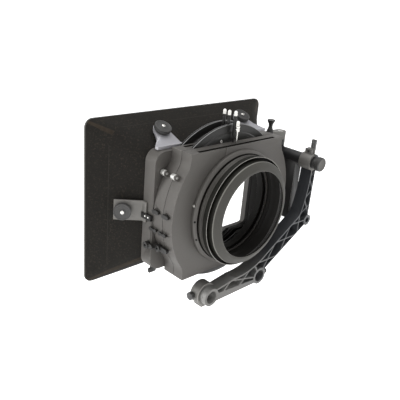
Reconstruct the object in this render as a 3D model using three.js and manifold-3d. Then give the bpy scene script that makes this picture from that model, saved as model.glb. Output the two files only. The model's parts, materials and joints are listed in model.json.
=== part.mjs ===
// Studio matte box on a swing-away console. Millimetres, +Z up.
// Origin: midway between the two rod bores, on the console's rear face.
// The lens side faces +Y, the hood opens towards -Y, and the swing hinge is on the -X side.
import * as THREE from 'three';
import { mergeVertices } from 'three/addons/utils/BufferGeometryUtils.js';
import Module from 'manifold-3d';

const wasm = await Module();
wasm.setup();

const { degToRad } = THREE.MathUtils;

// Clearances and facets
const seat = 0.3;
const overrun = 1;
const roundFacets = 20;
const smallFacets = 10;
const boreFacets = 30;
const ringFacets = 48;
const arcSteps = 6;
const bulgeSteps = 8;

// Rods, optical axis and the console casting
const rodRadius = 9.5;
const rodClearance = 0.1;
const rodSpacing = 104;
const axisHeight = 121;
const consoleDepth = 20;
const boxSetback = 22.6;
const rodBossRadius = 13.5;
const consoleFoot = 9;
const consoleWallStep = 8;
const uprightWidth = 10.8;
const uprightNeckZ = 155;
const innerArcRadius = 105.4;
const innerArcStart = degToRad(-87.3);
const innerArcEnd = degToRad(-127);
const kneeShare = [-1.302, 0.788];
const kneePullShare = [-1.416, 1.058];
const rodShelfShare = [0.41, 0.096];
const diagonalRootShare = [-0.5, 0.028];
const cornerBossStep = 8.5;
const cornerBossZ = 68;
const cornerBossRadius = 9;
const cornerHoleRadius = 4.5;
const pocketFloor = 4;
const trussRib = 2;
const trussFlange = 2.4;
const trussWall = 1.6;
const trussFootNear = 3.4;
const trussFootFar = -3.4;
const kneeInsetShare = [0.6, 0.9];

// Head clamp of the console and its lever
const tubeStep = 33.5;
const tubeRise = 47;
const tubeRadius = 9.5;
const headRadius = 13;
const lugHalfWidth = 5;
const lugTop = 188;
const lugSlot = 2;
const lugLength = 12;
const leverBoltZ = 184;
const leverBoltRadius = 2.2;
const leverBossRadius = 3.4;
const leverThickness = 4;
const leverWidth = 7;
const leverTop = 201;

// Rod clamp in front of the thin rod boss, and the two rod lock knobs
const thinBossDepth = 10.6;
const clampDepth = 15.7;
const clampRadius = 17.5;
const clampFootHalf = 8;
const clampFootDrop = 19;
const lockShankRadius = 3;
const lockKnobSides = 8;
const nearLockRadius = 6;
const nearLockLength = 6;
const nearLockY = -21.4;
const farLockRadius = 4.7;
const farLockLength = 4.6;
const farLockY = -5.2;
const farLockZ = 1.6;

// Main frame, stage plates and rotating discs, from the rear plate and the optical axis
const frameHalfWidth = 117;
const frameHalfHeight = 85.5;
const frameCorner = 16;
const frameFront = 59.6;
const seamFront = 38;
const seamRear = 18.3;
const apertureRail = 29;
const apertureHalfHeight = 68;
const apertureCorner = 30;
const stageFlankStep = 25.7;
const stageHalfHeight = 90.4;
const stageHollow = 9;
const stageAperture = 77;
const rearAperture = 70.3;
const discRimStep = 2.4;
const discThickness = 5.4;
const discRunGap = 0.4;
const discRimGap = 0.5;
const discBore = 72;
const discSeatRadius = 75.5;
const discSeatDepth = 3.4;
const discLandStep = 10.6;
const discLandDepth = 1.4;
const slotFlank = 15.3;
const slotDepth = 76;
const slotThickness = 5.4;
const slotWeb = 4.2;
const rearSlotWall = 1.8;
const recessLeft = 28;
const recessRight = 43;
const recessBottom = 74;
const recessDepth = 1.2;

// Hood shell and its edge trim
const rimSpread = 23.5;
const rimHalfHeight = 120.5;
const rimCorner = 12;
const rimFront = 120.4;
const rimDrop = 3.2;
const foldSpread = 35.5;
const foldHalfHeight = 108.5;
const foldCorner = 22;
const foldFront = 98;
const foldDrop = 1.8;
const throatStep = 5;
const throatHalfHeight = 82.5;
const throatCorner = 26;
const hoodWall = 2.6;
const hoodCornerSteps = 5;
const trimThickness = 3;
const trimOverlap = 1.2;

// Lens side: stepped collar, slim ring, conical barrel, each stepped from the one before it
const collarBoreStep = 2.2;
const collarWall = 11.4;
const collarFaceStep = 4;
const collarDepth = 7.2;
const collarBand = 4.4;
const lensRingStep = 5.6;
const lensRingWall = 5.8;
const lensRingGroove = 1.6;
const lensRingBack = 17.2;
const barrelFlare = 1.5;
const barrelNeckStep = 4.8;
const barrelShoulder = 21.8;
const barrelEdge = 25.6;
const barrelBreak = 32.6;
const barrelBreakStep = 5.2;
const barrelBack = 37.8;
const barrelLipStep = 14.2;
const barrelLipWidth = 2.9;
const barrelLip = 2.4;
const barrelWall = 8.2;
const collarScrewRadius = 2;
const collarScrewHead = 1.8;
const collarScrewAngle = degToRad(13.5);
const collarScrewCount = 3;

// Carriage: support tube, its end knob, the hinge post and its pin
const hingeY = -49;
const postHalfWidth = 7.6;
const postFront = -58;
const postRear = -5.2;
const postBottom = -56.5;
const ledgeTop = 68;
const ledgeRadius = 33;
const ledgeSteps = 14;
const knuckleRadius = 9;
const pinRadius = 4;
const pinWall = 1;
const tubeTail = 1.2;
const endKnobRadius = 11;
const endKnobNeck = 8.2;
const endKnobNeckLength = 4.5;
const endKnobLength = 13.6;
const endKnobChamfer = 1.1;

// Hinge arms of the frame and the pull pin
const hingeArmThickness = 12;
const pullPinStep = 4;
const pullPinY = -47.5;
const pullPinRadius = 3;
const pullPinReach = 8;
const rebateGap = 0.6;
const rebateStart = degToRad(-116);
const rebateEnd = degToRad(12);
const ledgeMargin = degToRad(8);
const spoolHeight = 21;
const spoolRadius = 6.2;

// Stage pins and thumb screws
const pinYs = [-36.1, -27.1, -15.4, -9.5];
const pinTops = [132.4, 132.7, 134, 121.4];
const pinFeet = [102, 102, 100, 107];
const pinRadii = [2.3, 2.3, 2.3, 3.1];
const pinCapLength = 7;
const pinStemRadius = 1.2;
const pinStemDepth = 12;
const thumbRadius = 4;
const thumbLength = 6.8;
const thumbAngle = degToRad(29.3);
const thumbLug = 2.6;
const thumbLugRadius = 3.6;
const thumbStemRadius = 1.8;

// Links, catches and clamps on the flanks, and the index plate
const flankGap = 0.3;
const stubDepth = 6;
const linkThickness = 2.4;
const linkEndRadius = 2.8;
const linkWaist = 1.6;
const linkLength = 9.5;
const linkStubRadius = 1.5;
const linkZ = -19.5;
const linkYs = [-30.5, -11.5];
const catchThickness = 3;
const catchEndRadius = 2.6;
const catchLength = 8;
const catchZ = 7.5;
const catchYs = [-27.2, -7.8];
const clampBossRadius = 5;
const clampBossThickness = 6.4;
const clampArmRadius = 3.4;
const clampArmThickness = 4.2;
const clampStubRadius = 1.8;
const clampSocketRadius = 2;
const clampSocketDepth = 2.5;
const socketSides = 6;
const clampZ = -45;
const clampYs = [-44.3, -27.4];
const clampReaches = [9, 14];
const indexFront = -58.5;
const indexTop = -1;
const indexHeight = 8;
const indexThickness = 4;
const indexRebate = 9.2;

// Flag tabs, brackets and knobs, and the bottom lever
const sideTabThickness = 2.4;
const sideTabFoot = 9.5;
const sideTabLength = 39;
const sideTabBottom = -15;
const sideTabHeight = 29;
const sideTabAngle = degToRad(-39);
const sideTabKnobAt = 27;
const topFlagWidth = 43;
const topFlagInset = 10;
const topFlagFootRear = -46.5;
const topFlagFootFront = -53;
const topFlagThickness = 4;
const topFlagAngle = degToRad(27.5);
const topFlagKnobStep = 15;
const topFlagKnobAt = 27;
const topFlagEndRadius = 11.5;
const topFlagShoulderShare = [0.64, 0.42];
const knobRadius = 12;
const knobNeck = 10;
const knobNeckLength = 2.3;
const knobLength = 7.6;
const knobChamfer = 1;
const knobScrewRadius = 3.2;
const knobScrewLength = 2;
const knobShankRadius = 2;
const knobShankReach = 1.6;
const bottomLeverInset = 13;
const bottomLeverY = -50;
const bottomLeverHalf = 6;
const bottomLeverWing = 2;
const bottomLeverHeight = 6;
const bottomLeverNeck = 3.2;
const bottomLeverStem = 2.2;
const bottomLeverDepth = 7;

// Places and widths that follow from the frame's half width
const bulgeRadius = frameHalfWidth;
const stageHalfWidth = bulgeRadius - stageFlankStep;
const slotHalfWidth = stageHalfWidth - slotFlank;
const discRadius = bulgeRadius - discRimStep;
const discLandRadius = discRadius - discLandStep;
const apertureHalfWidth = frameHalfWidth - apertureRail;
const throatHalfWidth = frameHalfWidth - throatStep;
const foldHalfWidth = throatHalfWidth + foldSpread;
const rimHalfWidth = foldHalfWidth + rimSpread;
const tubeX = frameHalfWidth + tubeStep;
const consoleWallX = tubeX + consoleWallStep;
const cornerBossX = tubeX + cornerBossStep;
const pullPinX = frameHalfWidth + pullPinStep;
const bottomLeverX = frameHalfWidth - bottomLeverInset;
const topFlagOuter = frameHalfWidth - topFlagInset;
const topFlagInner = topFlagOuter - topFlagWidth;
const topFlagKnobX = topFlagInner + topFlagKnobStep;

// Finishes
const finish = (colour, roughness, metalness) => new THREE.MeshStandardMaterial({
  color: new THREE.Color(colour), roughness, metalness,
});
const castGrey = finish('#5f5b57', 0.5, 0.4);
const plateGrey = finish('#6f6862', 0.45, 0.4);
const armGrey = finish('#4a4744', 0.5, 0.4);
const hoodBlack = finish('#262420', 0.8, 0);
const partBlack = finish('#171614', 0.55, 0.1);
const steel = finish('#b9b7b2', 0.3, 0.9);
const white = finish('#e6e5e0', 0.45, 0);
const rubber = finish('#1b1a19', 0.9, 0);

const part = new THREE.Group();
const consoleGroup = new THREE.Group();
const box = new THREE.Group();
box.position.set(0, -boxSetback, axisHeight);
part.add(consoleGroup, box);

// Turns a closed geometry into a solid whose faces point outwards
function solid(geometry) {
  const bare = geometry.index ? geometry.toNonIndexed() : geometry.clone();
  bare.deleteAttribute('normal');
  bare.deleteAttribute('uv');
  const merged = mergeVertices(bare);
  const corners = merged.attributes.position.array;
  const index = merged.index.array;
  const corner = (i) => new THREE.Vector3().fromArray(corners, i * 3);
  const faces = [];
  let volume = 0;
  for (let i = 0; i < index.length; i += 3) {
    const [a, b, c] = index.slice(i, i + 3);
    if (a !== b && b !== c && c !== a) {
      faces.push(a, b, c);
      volume += corner(a).dot(corner(b).cross(corner(c)));
    }
  }
  if (volume < 0) faces.reverse();
  return new wasm.Manifold(new wasm.Mesh({
    numProp: 3,
    vertProperties: Float32Array.from(corners),
    triVerts: Uint32Array.from(faces),
  }));
}

const join = (first, ...others) => others.reduce((sum, other) => sum.add(other), first);
const cut = (first, ...others) => others.reduce((rest, other) => rest.subtract(other), first);
const mirrored = (body) => body.mirror([1, 0, 0]);

// Adds a solid to a group as a named mesh
function node(group, name, body, material) {
  const { vertProperties, triVerts } = body.getMesh();
  const geometry = new THREE.BufferGeometry();
  geometry.setAttribute('position', new THREE.BufferAttribute(Float32Array.from(vertProperties), 3));
  geometry.setIndex(Array.from(triVerts));
  geometry.computeVertexNormals();
  const mesh = new THREE.Mesh(geometry, material);
  mesh.name = name;
  group.add(mesh);
}

// Extrudes an outline drawn in X and Z along Y
function plate(shape, yFront, yBack, curveSegments = arcSteps) {
  const geometry = new THREE.ExtrudeGeometry(shape, {
    depth: yBack - yFront, bevelEnabled: false, curveSegments,
  });
  geometry.rotateX(Math.PI / 2);
  geometry.translate(0, yBack, 0);
  return solid(geometry);
}

// Extrudes an outline drawn in Y and Z along X
function sideways(shape, xLow, xHigh, curveSegments = arcSteps) {
  const geometry = new THREE.ExtrudeGeometry(shape, {
    depth: xHigh - xLow, bevelEnabled: false, curveSegments,
  });
  geometry.applyMatrix4(new THREE.Matrix4().makeBasis(
    new THREE.Vector3(0, 1, 0), new THREE.Vector3(0, 0, 1), new THREE.Vector3(1, 0, 0),
  ));
  geometry.translate(xLow, 0, 0);
  return solid(geometry);
}

// Extrudes an outline drawn in X and Y along Z
function upwards(shape, zLow, zHigh, curveSegments = arcSteps) {
  const geometry = new THREE.ExtrudeGeometry(shape, {
    depth: zHigh - zLow, bevelEnabled: false, curveSegments,
  });
  geometry.translate(0, 0, zLow);
  return solid(geometry);
}

// A box between two corners
function block(low, high) {
  const size = high.map((value, i) => value - low[i]);
  const geometry = new THREE.BoxGeometry(...size);
  geometry.translate(...low.map((value, i) => value + size[i] / 2));
  return solid(geometry);
}

// A round bar parallel to 'x', 'y' or 'z' through a point, from low to high on that axis
function bar(axis, radius, low, high, [x, y, z], facets = roundFacets) {
  const geometry = new THREE.CylinderGeometry(radius, radius, high - low, facets);
  geometry.translate(0, (low + high) / 2, 0);
  if (axis === 'x') geometry.rotateZ(-Math.PI / 2);
  if (axis === 'z') geometry.rotateX(Math.PI / 2);
  geometry.translate(axis === 'x' ? 0 : x, axis === 'y' ? 0 : y, axis === 'z' ? 0 : z);
  return solid(geometry);
}

// Turns a closed profile of [radius, distance] pairs about an axis that leaves a point
function turned(profile, direction = [0, 1, 0], origin = [0, 0, 0], facets = ringFacets) {
  const points = profile.map(([radius, along]) => new THREE.Vector2(radius, along));
  if (profile[0][0] > 0) points.push(points[0].clone());
  const geometry = new THREE.LatheGeometry(points, facets);
  geometry.applyQuaternion(new THREE.Quaternion().setFromUnitVectors(
    new THREE.Vector3(0, 1, 0), new THREE.Vector3(...direction).normalize(),
  ));
  geometry.translate(...origin);
  return solid(geometry);
}

const polygon = (points) => new THREE.Shape(points.map(([x, y]) => new THREE.Vector2(x, y)));

function roundedRectangle(halfWidth, halfHeight, corner, [x, y] = [0, 0]) {
  const [width, height] = [halfWidth - corner, halfHeight - corner];
  const shape = new THREE.Shape();
  shape.absarc(x + width, y + height, corner, 0, Math.PI / 2);
  shape.absarc(x - width, y + height, corner, Math.PI / 2, Math.PI);
  shape.absarc(x - width, y - height, corner, Math.PI, Math.PI * 3 / 2);
  shape.absarc(x + width, y - height, corner, Math.PI * 3 / 2, Math.PI * 2);
  shape.closePath();
  return shape;
}

// A strap with round ends about two centres
function strap([ax, ay], [bx, by], radius) {
  const turn = Math.atan2(by - ay, bx - ax);
  const shape = new THREE.Shape();
  shape.absarc(bx, by, radius, turn - Math.PI / 2, turn + Math.PI / 2);
  shape.absarc(ax, ay, radius, turn + Math.PI / 2, turn + Math.PI * 3 / 2);
  shape.closePath();
  return shape;
}

// Joins closed loops of equal length into one solid, capped at both ends
function loft(loops) {
  const count = loops[0].length;
  const faces = [];
  for (let ring = 0; ring < loops.length - 1; ring += 1) {
    for (let i = 0; i < count; i += 1) {
      const [a, b] = [ring * count + i, ring * count + (i + 1) % count];
      faces.push(a, b, b + count, a, b + count, a + count);
    }
  }
  const last = (loops.length - 1) * count;
  for (let i = 1; i < count - 1; i += 1) {
    faces.push(0, i + 1, i, last, last + i, last + i + 1);
  }
  const corners = loops.flat().flatMap((point) => point.toArray());
  const geometry = new THREE.BufferGeometry();
  geometry.setAttribute('position', new THREE.BufferAttribute(Float32Array.from(corners), 3));
  geometry.setIndex(faces);
  return solid(geometry);
}

// Console arm: a casting from the rods up to the head clamp, its rear face open in a truss
const rodX = rodSpacing / 2;
const headZ = axisHeight + tubeRise;
const headY = -consoleDepth / 2;
const neckX = uprightWidth - consoleWallX;
const fromRods = ([x, z]) => [x * rodSpacing, z * rodSpacing];
const innerArcPoint = (angle) => [
  innerArcRadius * Math.cos(angle), axisHeight + innerArcRadius * Math.sin(angle),
];
const cornerRoot = [-cornerBossX, cornerBossZ - cornerBossRadius / 3];

function consoleShape() {
  const shape = new THREE.Shape();
  shape.moveTo(rodX, -consoleFoot);
  shape.lineTo(-rodX, -consoleFoot);
  shape.lineTo(...fromRods(diagonalRootShare));
  shape.lineTo(...cornerRoot);
  shape.lineTo(-consoleWallX, cornerBossZ);
  shape.lineTo(-consoleWallX, headZ);
  shape.lineTo(neckX, headZ);
  shape.lineTo(neckX, uprightNeckZ);
  shape.quadraticCurveTo(...fromRods(kneePullShare), ...fromRods(kneeShare));
  shape.lineTo(...innerArcPoint(innerArcEnd));
  shape.absarc(0, axisHeight, innerArcRadius, innerArcEnd, innerArcStart);
  shape.lineTo(...fromRods(rodShelfShare));
  shape.lineTo(rodX, rodShelfShare[1] * rodSpacing);
  shape.closePath();
  return shape;
}

// Ribs between two ends, as shares of the rod spacing; each end lies in a flange, a wall or a boss
const ribShares = [
  [[0.115, 0.156], [0.288, -0.01]],
  [[0.192, 0.15], [-0.4, 0.01]],
  [[-0.053, -0.02], [-0.284, 0.202]],
  [[-0.462, 0.048], [-0.351, 0.25]],
  [[-0.327, 0.238], [-0.885, 0.231]],
  [[-0.553, 0.077], [-0.779, 0.462]],
  [[-0.76, 0.468], [-1.288, 0.468]],
  [[-0.923, 0.26], [-1.106, 0.673]],
  [[-1.096, 0.678], [-1.462, 0.668]],
  [[-1.31, 0.5], [-1.31, 0.846]],
  [[-1.298, 0.795], [-1.548, 0.94]],
  [[-1.544, 0.741], [-1.36, 1.044]],
  [[-1.37, 1.055], [-1.535, 1.17]],
  [[-1.535, 1.17], [-1.404, 1.375]],
  [[-1.404, 1.375], [-1.535, 1.49]],
];

function rib([from, to]) {
  const [start, end] = [fromRods(from), fromRods(to)].map((point) => new THREE.Vector2(...point));
  const along = end.clone().sub(start).normalize().multiplyScalar(trussRib / 2);
  const across = new THREE.Vector2(-along.y, along.x);
  const corners = [
    start.clone().add(across), end.clone().add(across), end.clone().sub(across), start.clone().sub(across),
  ];
  const outline = polygon(corners.map((corner) => corner.toArray()));
  return plate(outline, pocketFloor - consoleDepth - overrun, overrun * 2);
}

// The open area of the rear face, inside the flanges and the thin outer wall
function trussArea() {
  const [rootX, rootZ] = fromRods(diagonalRootShare);
  const slope = (cornerRoot[1] - rootZ) / (rootX - cornerRoot[0]);
  const rise = trussWall * Math.hypot(1, slope);
  const outerX = trussWall - consoleWallX;
  const shelf = rodShelfShare[1] * rodSpacing - trussFlange;
  const wall = new THREE.QuadraticBezierCurve(
    new THREE.Vector2(...fromRods(kneeShare)), new THREE.Vector2(...fromRods(kneePullShare)),
    new THREE.Vector2(neckX, uprightNeckZ),
  );
  const neck = wall.getPoints(bulgeSteps).map((point, i, all) => {
    const bend = 1 - i / (all.length - 1);
    return [
      point.x - trussFlange * (1 - bend * (1 - kneeInsetShare[0])),
      point.y - trussFlange * bend * kneeInsetShare[1],
    ];
  });
  const arc = [];
  for (let i = 0; i <= bulgeSteps; i += 1) {
    const angle = innerArcStart + (innerArcEnd - innerArcStart) * i / bulgeSteps;
    const radius = innerArcRadius + trussFlange;
    arc.push([radius * Math.cos(angle), axisHeight + radius * Math.sin(angle)]);
  }
  return polygon([
    [rodX, shelf], [fromRods(rodShelfShare)[0], shelf], ...arc, ...neck, [outerX, uprightNeckZ],
    [outerX, cornerBossZ], [-cornerBossX, cornerRoot[1] + rise], [rootX, rootZ + rise],
    [-rodX, trussFootFar], [rodX, trussFootNear],
  ]);
}

function consoleArm() {
  const boss = (radius, x, z) => bar('y', radius, -consoleDepth, 0, [x, 0, z], boreFacets);
  const bore = (radius, x, z) => bar('y', radius, -consoleDepth - overrun, overrun, [x, 0, z], boreFacets);
  const bosses = join(
    boss(rodBossRadius, rodX, 0), boss(rodBossRadius, -rodX, 0),
    boss(cornerBossRadius, -cornerBossX, cornerBossZ), boss(headRadius, -tubeX, headZ),
  );
  const pockets = cut(plate(trussArea(), pocketFloor - consoleDepth, overrun), ...ribShares.map(rib));
  const lug = block(
    [-tubeX - lugHalfWidth, headY - lugLength / 2, headZ], [lugHalfWidth - tubeX, headY + lugLength / 2, lugTop],
  );
  return cut(
    join(cut(plate(consoleShape(), -consoleDepth, 0, bulgeSteps), cut(pockets, bosses)), bosses, lug),
    bore(rodRadius + rodClearance, rodX, 0),
    bore(rodRadius + rodClearance, -rodX, 0),
    bore(cornerHoleRadius, -cornerBossX, cornerBossZ),
    bore(tubeRadius + seat, -tubeX, headZ),
    block([-tubeX - lugSlot / 2, -consoleDepth - overrun, headZ], [lugSlot / 2 - tubeX, overrun, lugTop + overrun]),
    bar('x', leverBoltRadius + seat, -tubeX - lugHalfWidth - overrun, lugHalfWidth + overrun - tubeX,
      [0, headY, leverBoltZ]),
    bar('y', clampRadius + seat, -consoleDepth - overrun, -thinBossDepth, [rodX, 0, 0], boreFacets),
    bar('x', lockShankRadius + seat, -rodX - rodBossRadius - overrun, -rodX - rodRadius / 2,
      [0, farLockY, farLockZ]),
  );
}

// Rod clamp: a round block on the thin boss, with a flat foot
function rodClamp() {
  const back = -thinBossDepth - seat;
  const front = back - clampDepth;
  return cut(
    join(
      bar('y', clampRadius, front, back, [rodX, 0, 0], boreFacets),
      block([rodX - clampFootHalf, front, -clampFootDrop], [rodX + clampFootHalf, back, 0]),
    ),
    bar('y', rodRadius + rodClearance, front - overrun, back + overrun, [rodX, 0, 0], boreFacets),
    bar('x', lockShankRadius + seat, rodX, rodX + clampRadius + overrun, [0, nearLockY, 0]),
  );
}

// A flat-sided lock knob on a shank that ends just clear of the rod
function lockKnob(boss, radius, length, [y, z]) {
  const face = rodX + boss + seat;
  return join(
    bar('x', radius, face, face + length, [0, y, z], lockKnobSides),
    bar('x', lockShankRadius, rodX + rodRadius + rodClearance + seat, face + length / 2, [0, y, z]),
  );
}

// Head clamp lever: a bolt through the split lugs, with a wing that stands up
function headLever() {
  const face = -tubeX - lugHalfWidth - seat;
  return join(
    bar('x', leverBoltRadius, face - leverThickness / 2, lugHalfWidth - seat - tubeX, [0, headY, leverBoltZ]),
    bar('x', leverBossRadius, face - leverThickness, face, [0, headY, leverBoltZ]),
    block([face - leverThickness, headY - leverWidth / 2, leverBoltZ], [face, headY + leverWidth / 2, leverTop]),
  );
}

node(consoleGroup, 'console_arm', consoleArm(), armGrey);
node(consoleGroup, 'rod_clamp_block', rodClamp(), castGrey);
node(consoleGroup, 'rod_lock_knob_near',
  lockKnob(clampRadius, nearLockRadius, nearLockLength, [nearLockY, 0]), partBlack);
node(consoleGroup, 'rod_lock_knob_far',
  mirrored(lockKnob(rodBossRadius, farLockRadius, farLockLength, [farLockY, farLockZ])), partBlack);
node(consoleGroup, 'head_clamp_lever', headLever(), partBlack);

// Support tube and its end knob, behind the head clamp
const hingeX = -tubeX;
const tubeFront = hingeY + pinRadius + seat + pinWall;
const tubeRear = boxSetback + tubeTail;
node(box, 'support_tube',
  bar('y', tubeRadius, tubeFront, tubeRear, [hingeX, 0, tubeRise], boreFacets), armGrey);

function endKnob() {
  const front = tubeRear + seat;
  const back = front + endKnobLength;
  return turned([
    [0, front], [endKnobNeck, front], [endKnobNeck, front + endKnobNeckLength],
    [endKnobRadius, front + endKnobNeckLength + endKnobChamfer], [endKnobRadius, back - endKnobChamfer],
    [endKnobRadius - endKnobChamfer, back], [0, back],
  ], [0, 1, 0], [hingeX, 0, tubeRise], boreFacets);
}
node(box, 'tube_end_knob', endKnob(), partBlack);

// Hinge post: it cradles the tube, and a rebate in its top ledge guides the pull pin between two stops
const pullPinArm = Math.hypot(hingeX + pullPinX, pullPinY - hingeY);

function sector(inner, outer, start, end) {
  const shape = new THREE.Shape();
  shape.absarc(hingeX, hingeY, outer, start, end);
  shape.absarc(hingeX, hingeY, inner, end, start, true);
  shape.closePath();
  return shape;
}

function hingePost() {
  const [low, high] = [hingeX - postHalfWidth, hingeX + postHalfWidth];
  const ledge = sector(knuckleRadius / 2, ledgeRadius, rebateStart - ledgeMargin, rebateEnd + ledgeMargin);
  const rebateHalf = pullPinRadius + rebateGap;
  const rebate = sector(pullPinArm - rebateHalf, pullPinArm + rebateHalf, rebateStart, rebateEnd);
  return cut(
    join(
      block([low, postFront, postBottom], [high, postRear, tubeRise]),
      block([low, postFront, tubeRise - tubeRadius], [high, tubeFront - seat, ledgeTop]),
      bar('z', knuckleRadius, postBottom, ledgeTop, [hingeX, hingeY, 0]),
      upwards(ledge, tubeRise + tubeRadius + seat, ledgeTop, ledgeSteps),
    ),
    bar('y', tubeRadius + seat, tubeFront - seat, postRear + overrun, [hingeX, 0, tubeRise], boreFacets),
    upwards(rebate, ledgeTop - pullPinReach - rebateGap, ledgeTop + overrun, ledgeSteps),
    bar('z', pinRadius + seat, postBottom - overrun, ledgeTop + overrun, [hingeX, hingeY, 0]),
  );
}
node(box, 'hinge_post', hingePost(), castGrey);

// The frame's two hinge arms, one above and one below the post
const upperArmZ = ledgeTop + seat;
const lowerArmZ = postBottom - seat - hingeArmThickness;

function hingeArm(zLow) {
  const zHigh = zLow + hingeArmThickness;
  const root = frameCorner / 2 - frameHalfWidth;
  const shape = new THREE.Shape();
  shape.moveTo(root, hingeY + knuckleRadius);
  shape.absarc(hingeX, hingeY, knuckleRadius, Math.PI / 2, Math.PI * 3 / 2);
  shape.lineTo(root, hingeY - knuckleRadius);
  shape.closePath();
  const flank = roundedRectangle(frameHalfWidth + seat, frameHalfHeight + seat, frameCorner + seat);
  return cut(
    upwards(shape, zLow, zHigh),
    plate(flank, -frameFront - overrun, overrun),
    bar('z', pinRadius + seat, zLow - overrun, zHigh + overrun, [hingeX, hingeY, 0]),
  );
}
const pullPinHole = bar('z', pullPinRadius + seat, ledgeTop, upperArmZ + hingeArmThickness + overrun,
  [-pullPinX, pullPinY, 0]);
node(box, 'upper_hinge_arm', cut(hingeArm(upperArmZ), pullPinHole), castGrey);
node(box, 'lower_hinge_arm', hingeArm(lowerArmZ), castGrey);
node(box, 'hinge_pin', bar('z', pinRadius, lowerArmZ + seat, upperArmZ + hingeArmThickness - seat,
  [hingeX, hingeY, 0]), steel);

// Pull pin: a waisted spool on a pin that runs in the ledge's rebate
const spoolHeightShares = [0, 0, 0.22, 0.4, 0.68, 0.86, 1, 1];
const spoolWidthShares = [0, 0.95, 0.8, 0.5, 0.52, 0.92, 1, 0];

function pullPin() {
  const base = upperArmZ + hingeArmThickness + seat;
  const profile = spoolHeightShares.map(
    (share, i) => [spoolRadius * spoolWidthShares[i], share * spoolHeight],
  );
  return join(
    turned(profile, [0, 0, 1], [-pullPinX, pullPinY, base], roundFacets),
    bar('z', pullPinRadius, ledgeTop - pullPinReach, base + spoolHeight / 4, [-pullPinX, pullPinY, 0]),
  );
}
node(box, 'pull_pin', pullPin(), partBlack);

// Hood: a thin flared shell with a fold
function hoodLoop({ halfWidth, halfHeight, corner, drop, front }, inset, shift = 0) {
  const points = [];
  const [width, height, radius] = [halfWidth - corner, halfHeight - corner, corner - inset];
  for (let quarter = 0; quarter < 4; quarter += 1) {
    const [sideX, sideZ] = [[1, 1], [-1, 1], [-1, -1], [1, -1]][quarter];
    for (let step = 0; step <= hoodCornerSteps; step += 1) {
      const angle = (quarter + step / hoodCornerSteps) * Math.PI / 2;
      const x = sideX * width + radius * Math.cos(angle);
      const z = sideZ * height + radius * Math.sin(angle) - drop;
      points.push(new THREE.Vector3(x, -front - shift, z));
    }
  }
  return points;
}

function hood() {
  const throat = {
    halfWidth: throatHalfWidth, halfHeight: throatHalfHeight, corner: throatCorner,
    drop: 0, front: frameFront + seat,
  };
  const fold = {
    halfWidth: foldHalfWidth, halfHeight: foldHalfHeight, corner: foldCorner,
    drop: foldDrop, front: foldFront,
  };
  const rim = {
    halfWidth: rimHalfWidth, halfHeight: rimHalfHeight, corner: rimCorner,
    drop: rimDrop, front: rimFront - trimThickness - seat,
  };
  return cut(
    loft([hoodLoop(throat, 0), hoodLoop(fold, 0), hoodLoop(rim, 0)]),
    loft([hoodLoop(throat, hoodWall, -overrun), hoodLoop(fold, hoodWall), hoodLoop(rim, hoodWall, overrun)]),
  );
}

function hoodTrim() {
  const outline = (inset) => roundedRectangle(
    rimHalfWidth - inset, rimHalfHeight - inset, rimCorner - inset, [0, -rimDrop],
  );
  return cut(
    plate(outline(0), -rimFront, trimThickness - rimFront),
    plate(outline(hoodWall + trimOverlap), -rimFront - overrun, trimThickness - rimFront + overrun),
  );
}
node(box, 'hood', hood(), hoodBlack);
node(box, 'hood_edge_trim', hoodTrim(), rubber);

// Main frame: a rounded casing whose rear recess carries the front rotating disc
const frameRear = seamFront + seat;
const frameRecess = frameRear + 2 * discRunGap + discThickness;
const discRecess = (floor, open) => bar('y', discRadius + discRimGap, -floor, open, [0, 0, 0], ringFacets);

function mainFrame() {
  return cut(
    plate(roundedRectangle(frameHalfWidth, frameHalfHeight, frameCorner), -frameFront, -frameRear),
    plate(roundedRectangle(apertureHalfWidth, apertureHalfHeight, apertureCorner),
      -frameFront - overrun, overrun - frameRear),
    discRecess(frameRecess, overrun - frameRear),
    bar('x', clampStubRadius + seat, frameHalfWidth - stubDepth - seat, frameHalfWidth + overrun,
      [0, clampYs[0], clampZ]),
    bar('z', bottomLeverStem + seat, -frameHalfHeight - overrun, bottomLeverDepth + seat - frameHalfHeight,
      [bottomLeverX, bottomLeverY, 0]),
  );
}
node(box, 'main_frame', mainFrame(), plateGrey);

// Stage plates: flat top and bottom, with sides that swell to the discs' circle through rounded hollows
function stageShape() {
  const swell = Math.acos(stageHalfWidth / bulgeRadius);
  const hollowZ = bulgeRadius * Math.sin(swell);
  const turn = swell - stageHollow / bulgeRadius;
  const shape = new THREE.Shape();
  const hollow = (side, end, angle) => shape.quadraticCurveTo(
    side * stageHalfWidth, end * hollowZ, bulgeRadius * Math.cos(angle), bulgeRadius * Math.sin(angle),
  );
  shape.moveTo(-stageHalfWidth, stageHalfHeight);
  shape.lineTo(-stageHalfWidth, hollowZ + stageHollow);
  hollow(-1, 1, Math.PI - turn);
  shape.absarc(0, 0, bulgeRadius, Math.PI - turn, Math.PI + turn);
  shape.quadraticCurveTo(-stageHalfWidth, -hollowZ, -stageHalfWidth, -hollowZ - stageHollow);
  shape.lineTo(-stageHalfWidth, -stageHalfHeight);
  shape.lineTo(stageHalfWidth, -stageHalfHeight);
  shape.lineTo(stageHalfWidth, -hollowZ - stageHollow);
  hollow(1, -1, -turn);
  shape.absarc(0, 0, bulgeRadius, -turn, turn);
  shape.quadraticCurveTo(stageHalfWidth, hollowZ, stageHalfWidth, hollowZ + stageHollow);
  shape.lineTo(stageHalfWidth, stageHalfHeight);
  shape.closePath();
  return shape;
}

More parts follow.
